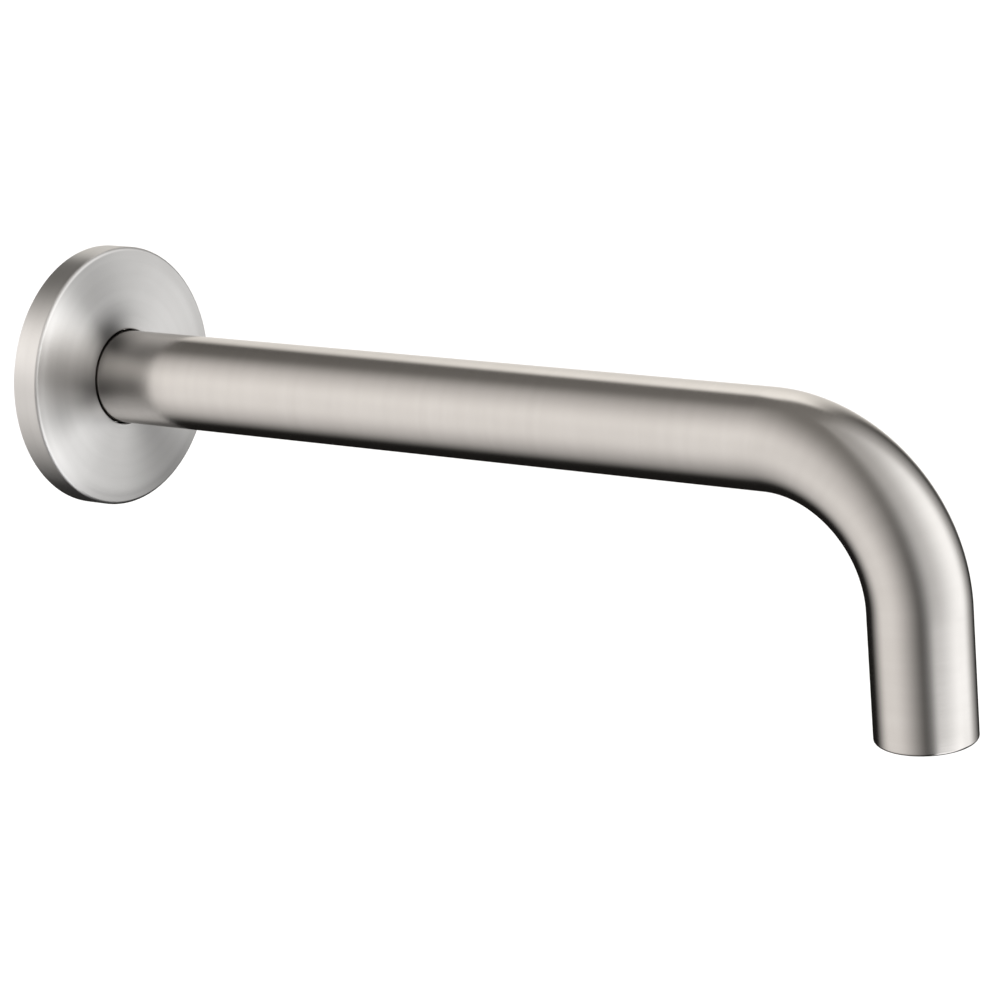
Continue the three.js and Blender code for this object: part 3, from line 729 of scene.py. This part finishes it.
def makeShell():
    bottom, top = heights("aerator_shell")
    lipTop = bottom + shell["lipThickness"]
    threadStart, threadEnd = bottom + shell["threadFrom"], top - shell["topBevel"]
    radius, lip, fine = shell["radius"], shell["lip"], shell["fineRound"]
    outline = [
        (lip, bottom, 2 * fine), (radius - shell["bevel"], bottom, 2 * fine),
        (radius, threadStart, 0, threadStep), (radius, threadEnd, 0), (radius - shell["topBevel"], top, fine),
        (shell["bore"], top, fine), (shell["bore"], lipTop, fine), (lip, lipTop, fine)]
    thread = {"radius": radius, "start": threadStart, "end": threadEnd, "pitch": outlet["pitch"],
              "depth": -outlet["threadDepth"]}
    piece = turnedPiece("aeratorCasing", outline, outletPlace, outlet["sides"], thread)
    build = bmesh.new()
    for i in range(shell["slots"]):
        angle = 2 * pi * (i + 0.5) / shell["slots"]
        middle = outletPlace((lip + radius) / 2, angle, bottom)
        length = radius - lip - shell["slotShort"]
        size = Matrix.Diagonal((length, shell["slotWidth"], 2 * shell["slotDepth"], 1))
        place = Matrix.Translation(middle) @ Matrix.Rotation(angle, 4, "Z") @ size
        bmesh.ops.create_cube(build, size=1, matrix=place)
    soften(carve(piece, build))
    return settle(piece, "aerator_shell", "aerator", plastic)


grid = {"pitch": 1.62 * mm, "hole": 0.72 * mm, "holeSides": 6, "rings": 4, "corner": 0.15 * mm,
        "rim": 0.1 * mm, "past": 1 * mm, "sides": 96}


def hexCentres(pitch, rings):
    for column in range(-rings, rings + 1):
        for row in range(-rings, rings + 1):
            if abs(column + row) <= rings:
                yield pitch * (column + row / 2), pitch * row * sin(pi / 3)


def makeGrid():
    bottom, top = heights("aerator_outlet_grid")
    low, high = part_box("aerator_outlet_grid")
    outer = (high.x - low.x) / 2
    outline = [(0, bottom), (outer, bottom, grid["corner"]), (outer, top, grid["corner"]), (0, top)]
    piece = turnedPiece("outletGrid", outline, outletPlace, grid["sides"])
    build = bmesh.new()
    for x, y in hexCentres(grid["pitch"], grid["rings"]):
        if hypot(x, y) + grid["hole"] < shell["lip"] - grid["rim"]:
            foot = Vector((x, outletY + y, outletZ))
            under = foot + Vector((0, 0, bottom - grid["past"]))
            over = foot + Vector((0, 0, top + grid["past"]))
            prism(build, grid["holeSides"], grid["hole"], under, over, pi / 2)
    soften(carve(piece, build))
    return settle(piece, "aerator_outlet_grid", "aerator", plastic)


screen = {"wire": 0.075 * mm, "pitch": 0.72 * mm, "perPitch": 4, "around": 5, "margin": 0.15 * mm,
          "turns": {"lower": 0, "middle": 0.4, "upper": 0.8}}


def wovenScreen(name, node, turn):
    # two sets of wires, each bent over and under the other
    low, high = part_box(node)
    outer, middle = (high.x - low.x) / 2 - screen["margin"], (low.z + high.z) / 2
    sway = (high.z - low.z) / 2 - screen["wire"]
    build = bmesh.new()
    uvs = build.loops.layers.uv.new("turn")
    count = floor(outer / screen["pitch"])
    step = screen["pitch"] / screen["perPitch"]
    spin = Matrix.Translation((0, outletY, middle)) @ Matrix.Rotation(turn, 4, "Z")
    for across in (0, 1):
        for line in range(-count, count + 1):
            offset = line * screen["pitch"]
            half = (outer ** 2 - offset ** 2) ** 0.5
            stations = max(2, ceil(2 * half / step))
            rings = []
            for i in range(stations + 1):
                along = -half + 2 * half * i / stations
                lift = sway * cos(pi * along / screen["pitch"]) * (1 if (line + across) % 2 else -1)
                ring = []
                for k in range(screen["around"]):
                    angle = 2 * pi * k / screen["around"]
                    side, rise = offset + screen["wire"] * cos(angle), lift + screen["wire"] * sin(angle)
                    point = Vector((side, along, rise)) if across else Vector((along, side, rise))
                    ring.append(build.verts.new(spin @ point))
                rings.append(ring)
            for i in range(stations):
                for k in range(screen["around"]):
                    n = (k + 1) % screen["around"]
                    face = build.faces.new((rings[i][k], rings[i][n], rings[i + 1][n], rings[i + 1][k]))
                    face.smooth = True
                    for loop, uv in zip(face.loops, ((k, i), (k + 1, i), (k + 1, i + 1), (k, i + 1))):
                        loop[uvs].uv = (uv[0] / screen["around"], uv[1] * step)
            build.faces.new(rings[0])
            build.faces.new(rings[-1][::-1])
    bmesh.ops.recalc_face_normals(build, faces=build.faces)
    return settle(finished(name, build), node, "aerator", screenSteel)


latticeEdge = {"width": 0.08 * mm, "segments": 2}


def lattice(name, node, rows, sectors, keep, wall, rise):
    # a round sheet of rings and sectors with cells left out, given its thickness
    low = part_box(node)[0]
    build = bmesh.new()
    uvs = build.loops.layers.uv.new("turn")
    rings = []
    for row in rows:
        angles = [2 * pi * k / sectors for k in range(sectors)]
        height = low.z + rise(row)
        rings.append([build.verts.new((row * cos(a), outletY + row * sin(a), height)) for a in angles])
    for i in range(len(rows) - 1):
        for k in range(sectors):
            if keep(i, k):
                n = (k + 1) % sectors
                face = build.faces.new((rings[i][k], rings[i + 1][k], rings[i + 1][n], rings[i][n]))
                for loop, uv in zip(face.loops, ((k, i), (k, i + 1), (k + 1, i + 1), (k + 1, i))):
                    loop[uvs].uv = (uv[0] / sectors, rows[uv[1]])
    bmesh.ops.delete(build, geom=[v for v in build.verts if not v.link_faces], context="VERTS")
    bmesh.ops.recalc_face_normals(build, faces=build.faces)
    piece = finished(name, build)
    if piece.data.polygons[0].normal.z < 0:
        piece.data.flip_normals()
    thicken = piece.modifiers.new("wall", "SOLIDIFY")
    thicken.thickness, thicken.offset = wall, 1
    edge = piece.modifiers.new("edge", "BEVEL")
    edge.width, edge.segments, edge.limit_method = latticeEdge["width"], latticeEdge["segments"], "ANGLE"
    soften(applied(piece))
    return settle(piece, node, "aerator", plastic)


strainer = {"wall": 0.55 * mm, "rimHeight": 0.45 * mm, "seatGap": 0.6 * mm, "edgeGap": 0.05 * mm, "rings": 17,
            "sectors": 72, "rimRings": 2, "capRing": 15, "barEvery": 3}


def makeStrainer():
    low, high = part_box("aerator_strainer")
    outer, wall, rim = (high.x - low.x) / 2, strainer["wall"], strainer["rimHeight"]
    dome = outlet["seatBore"] - strainer["seatGap"] - wall
    top = high.z - low.z - wall
    count, bars = strainer["rings"], strainer["barEvery"]
    rows = [outer - strainer["edgeGap"]] + [dome * cos(pi / 2 * i / count) for i in range(count)]

    def rise(row):
        return rim if row > dome else rim + (top - rim) * (1 - (row / dome) ** 2) ** 0.5

    def keep(i, k):
        return i < strainer["rimRings"] or i > strainer["capRing"] or i % bars == 1 or k % bars == 0

    return lattice("domeStrainer", "aerator_strainer", rows, strainer["sectors"], keep, wall, rise)


core = {"insets": (0.02 * mm, 1.2 * mm, 3.4 * mm, 4.2 * mm), "hub": (1.9 * mm, 1.1 * mm), "sectors": 96,
        "solidRings": (0, 2, 4), "spokeEvery": 8}


def makeCore():
    low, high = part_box("aerator_core")
    outer, wall = (high.x - low.x) / 2, high.z - low.z
    rows = [outer - inset for inset in core["insets"]] + list(core["hub"])

    def keep(i, k):
        return i in core["solidRings"] or k % core["spokeEvery"] == 0

    return lattice("mixingCore", "aerator_core", rows, core["sectors"], keep, wall, lambda row: 0.0)


jets = {"count": 16, "radius": 0.5 * mm, "circle": 5.5 * mm, "rimWidth": 1.1 * mm, "step": 0.35 * mm,
        "bossFoot": 2.2 * mm, "bossTop": 1.6 * mm, "fineRound": 0.1 * mm, "holeSides": 20, "past": 1 * mm,
        "sides": 96}


def makeJetPlate():
    bottom, top = heights("aerator_jet_plate")
    low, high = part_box("aerator_jet_plate")
    outer, fine = (high.x - low.x) / 2, jets["fineRound"]
    inner, sunk = outer - jets["rimWidth"], top - jets["step"]
    outline = [
        (0, bottom), (outer, bottom, fine), (outer, top, fine), (inner, top, fine), (inner, sunk, fine),
        (jets["bossFoot"], sunk, fine), (jets["bossTop"], top, fine), (0, top)]
    piece = turnedPiece("jetPlate", outline, outletPlace, jets["sides"])
    build = bmesh.new()
    for i in range(jets["count"]):
        angle = 2 * pi * i / jets["count"]
        under = outletPlace(jets["circle"], angle, bottom - jets["past"])
        over = outletPlace(jets["circle"], angle, top + jets["past"])
        prism(build, jets["holeSides"], jets["radius"], under, over)
    soften(carve(piece, build))
    return settle(piece, "aerator_jet_plate", "aerator", plastic)


aeratorSeal = {"inner": 7.0 * mm, "corner": 0.2 * mm, "sides": 96}

makeCollar()
makeShell()
makeGrid()
for level, screenTurn in screen["turns"].items():
    wovenScreen(level + "Screen", "aerator_mesh_" + level, screenTurn)
makeCore()
makeJetPlate()
makeStrainer()
makeBand("aeratorSeal", "aerator_gasket", "aerator_seal", rubber, outletPlace,
         aeratorSeal["inner"], aeratorSeal)
print("aerator made")


# The floor, the light and the camera.

stage = {"height": -0.42, "size": 14.0, "squares": 2, "colour": (0.86, 0.86, 0.86, 1), "patchTone": 0.985,
         "patchSize": 1.5, "roughness": 0.9, "wash": 2.2, "washAngle": 80}


def makeFloor():
    build = bmesh.new()
    squares, low = stage["squares"], Matrix.Translation((0, 0, stage["height"]))
    bmesh.ops.create_grid(build, x_segments=squares, y_segments=squares, size=stage["size"] / 2, matrix=low)
    floorPiece = finished("studioFloor", build)
    material, tree, shader, place = newMaterial("paleFloor", Roughness=stage["roughness"])
    patches = useGroup(tree, slowPatches, Position=place["Object"], Size=stage["patchSize"])
    dimmer = tuple(c * stage["patchTone"] for c in stage["colour"][:3]) + (1,)
    pale = mixColour(tree, patches["Mask"], stage["colour"], dimmer)
    tree.links.new(pale, shader.inputs["Base Color"])
    floorPiece.data.materials.append(material)
    floorPiece.visible_glossy = False  # the metal mirrors the studio, not the floor
    wash = bpy.data.lights.new("floorWash", "SUN")
    wash.energy, wash.angle = stage["wash"], radians(stage["washAngle"])
    lamp = bpy.data.objects.new("floorWash", wash)
    lamp.visible_glossy = False
    scene.collection.objects.link(lamp)


# Soft boxes around the spout, as angles in degrees. Azimuth 0 is +X and 90 is into the wall. Each one
# brightens between the first two angles and fades between the last two, across and then up.
softboxes = {
    "frontBox": {"azimuth": -90, "across": (-65, -25, 58, 100), "upward": (-34, -22, -22, 140), "glow": 0.77,
                 "tint": (1.0, 1.0, 1.0)},
    "keyBox": {"azimuth": -60, "across": (-64, 10, 12, 40), "upward": (-34, -20, 20, 85), "glow": 0.85,
               "tint": (1.0, 1.015, 1.03)},
    "lowBox": {"azimuth": -92, "across": (-44, -28, 20, 40), "upward": (-80, -60, -30, -19), "glow": 1.6,
               "tint": (1.0, 1.01, 1.03)},
    "leftBox": {"azimuth": 140, "across": (-65, -16, -1, 88), "upward": (-88, -10, 10, 83), "glow": 1.14,
                "tint": (1.0, 0.972, 0.95)},
    "backBox": {"azimuth": 30, "across": (-26, -4, 11, 23), "upward": (-16, -7, 48, 62), "glow": 1.3,
                "tint": (1.0, 0.98, 0.94)},
}
studioDim = {"below": 0.018, "above": 0.24, "upward": (-20, 85), "tint": (1.02, 0.97, 0.91),
             "white": (1, 1, 1, 1)}


def softboxGroup():
    # how bright one soft box is in a direction
    tree, given, result = newGroup(
        "softbox",
        [("Direction", "vector"), ("Azimuth", "number", 0.0), ("Left Start", "number", -30.0),
         ("Left Full", "number", -20.0), ("Right Full", "number", 20.0), ("Right End", "number", 30.0),
         ("Low Start", "number", -30.0), ("Low Full", "number", -20.0), ("High Full", "number", 20.0),
         ("High End", "number", 30.0), ("Glow", "number", 1.0)],
        [("Light", "number")])
    turn = mathNode(tree, "RADIANS", mathNode(tree, "MULTIPLY", given["Azimuth"], -1.0))
    turned = addNode(tree, "ShaderNodeVectorRotate", {"Vector": given["Direction"], "Angle": turn},
                     rotation_type="Z_AXIS").outputs[0]
    parts = splitVector(tree, turned)
    across = mathNode(tree, "DEGREES", mathNode(tree, "ARCTAN2", parts[1], parts[0]))
    upward = mathNode(tree, "DEGREES", mathNode(tree, "ARCSINE", parts[2]))
    light, rising, falling = given["Glow"], (0.0, 1.0), (1.0, 0.0)
    for angle, start, end, levels in (
            (across, "Left Start", "Left Full", rising), (across, "Right Full", "Right End", falling),
            (upward, "Low Start", "Low Full", rising), (upward, "High Full", "High End", falling)):
        ramp = remap(tree, angle, (given[start], given[end]), levels, "SMOOTHSTEP")
        light = mathNode(tree, "MULTIPLY", light, ramp)
    tree.links.new(light, result["Light"])
    return tree


def makeWorld():
    world = bpy.data.worlds.new("studio")
    world.use_nodes = True
    tree = world.node_tree
    tree.nodes.clear()
    around = tree.nodes.new("ShaderNodeTexCoord").outputs["Generated"]
    direction = addNode(tree, "ShaderNodeVectorMath", {0: around}, operation="NORMALIZE").outputs[0]
    height = mathNode(tree, "DEGREES", mathNode(tree, "ARCSINE", splitVector(tree, direction)[2]))
    levels = (studioDim["below"], studioDim["below"] + studioDim["above"])
    light = scaled(tree, studioDim["tint"], remap(tree, height, studioDim["upward"], levels, "SMOOTHSTEP"))
    group = softboxGroup()
    for box in softboxes.values():
        left, leftFull, rightFull, right = box["across"]
        low, lowFull, highFull, high = box["upward"]
        glow = useGroup(tree, group, Direction=direction, Azimuth=box["azimuth"], Left_Start=left,
                        Left_Full=leftFull, Right_Full=rightFull, Right_End=right, Low_Start=low,
                        Low_Full=lowFull, High_Full=highFull, High_End=high, Glow=box["glow"])
        tinted = scaled(tree, box["tint"], glow["Light"])
        light = addNode(tree, "ShaderNodeVectorMath", {0: light, 1: tinted}, operation="ADD").outputs[0]
    lit = addNode(tree, "ShaderNodeBackground", {"Color": light, "Strength": 1.0}).outputs[0]
    seen = addNode(tree, "ShaderNodeBackground", {"Color": studioDim["white"], "Strength": 1.0}).outputs[0]
    path = tree.nodes.new("ShaderNodeLightPath").outputs
    mix = addNode(tree, "ShaderNodeMixShader", {0: path["Is Camera Ray"], 1: lit, 2: seen}).outputs[0]
    addNode(tree, "ShaderNodeOutputWorld", {"Surface": mix})
    scene.world = world


viewpoint = {"azimuth": -53.26, "elevation": 16.03, "roll": -5.01, "distance": 0.8533, "lens": 121.8,
             "sensor": 36, "near": 0.01, "far": 50, "target": (0.0, -0.1311, -0.0230)}


def makeCamera():
    turn, rise, roll = (radians(viewpoint[key]) for key in ("azimuth", "elevation", "roll"))
    back = Vector((sin(turn) * cos(rise), -cos(turn) * cos(rise), sin(rise)))
    right = (-back).cross(Vector((0, 0, 1))).normalized()
    up = right.cross(-back)
    across = right * cos(roll) + up * sin(roll)
    above = up * cos(roll) - right * sin(roll)
    data = bpy.data.cameras.new("camera")
    data.lens, data.sensor_width = viewpoint["lens"], viewpoint["sensor"]
    data.clip_start, data.clip_end = viewpoint["near"], viewpoint["far"]
    camera = bpy.data.objects.new("camera", data)
    scene.collection.objects.link(camera)
    axes = Matrix((across, above, back)).transposed().to_4x4()
    position = Vector(viewpoint["target"]) + back * viewpoint["distance"]
    camera.matrix_world = Matrix.Translation(position) @ axes
    scene.camera = camera


makeFloor()
makeWorld()
makeCamera()
scene.view_settings.view_transform = "Standard"
scene.cycles.use_denoising = True
print("stage, light and camera made")

bpy.context.view_layer.update()
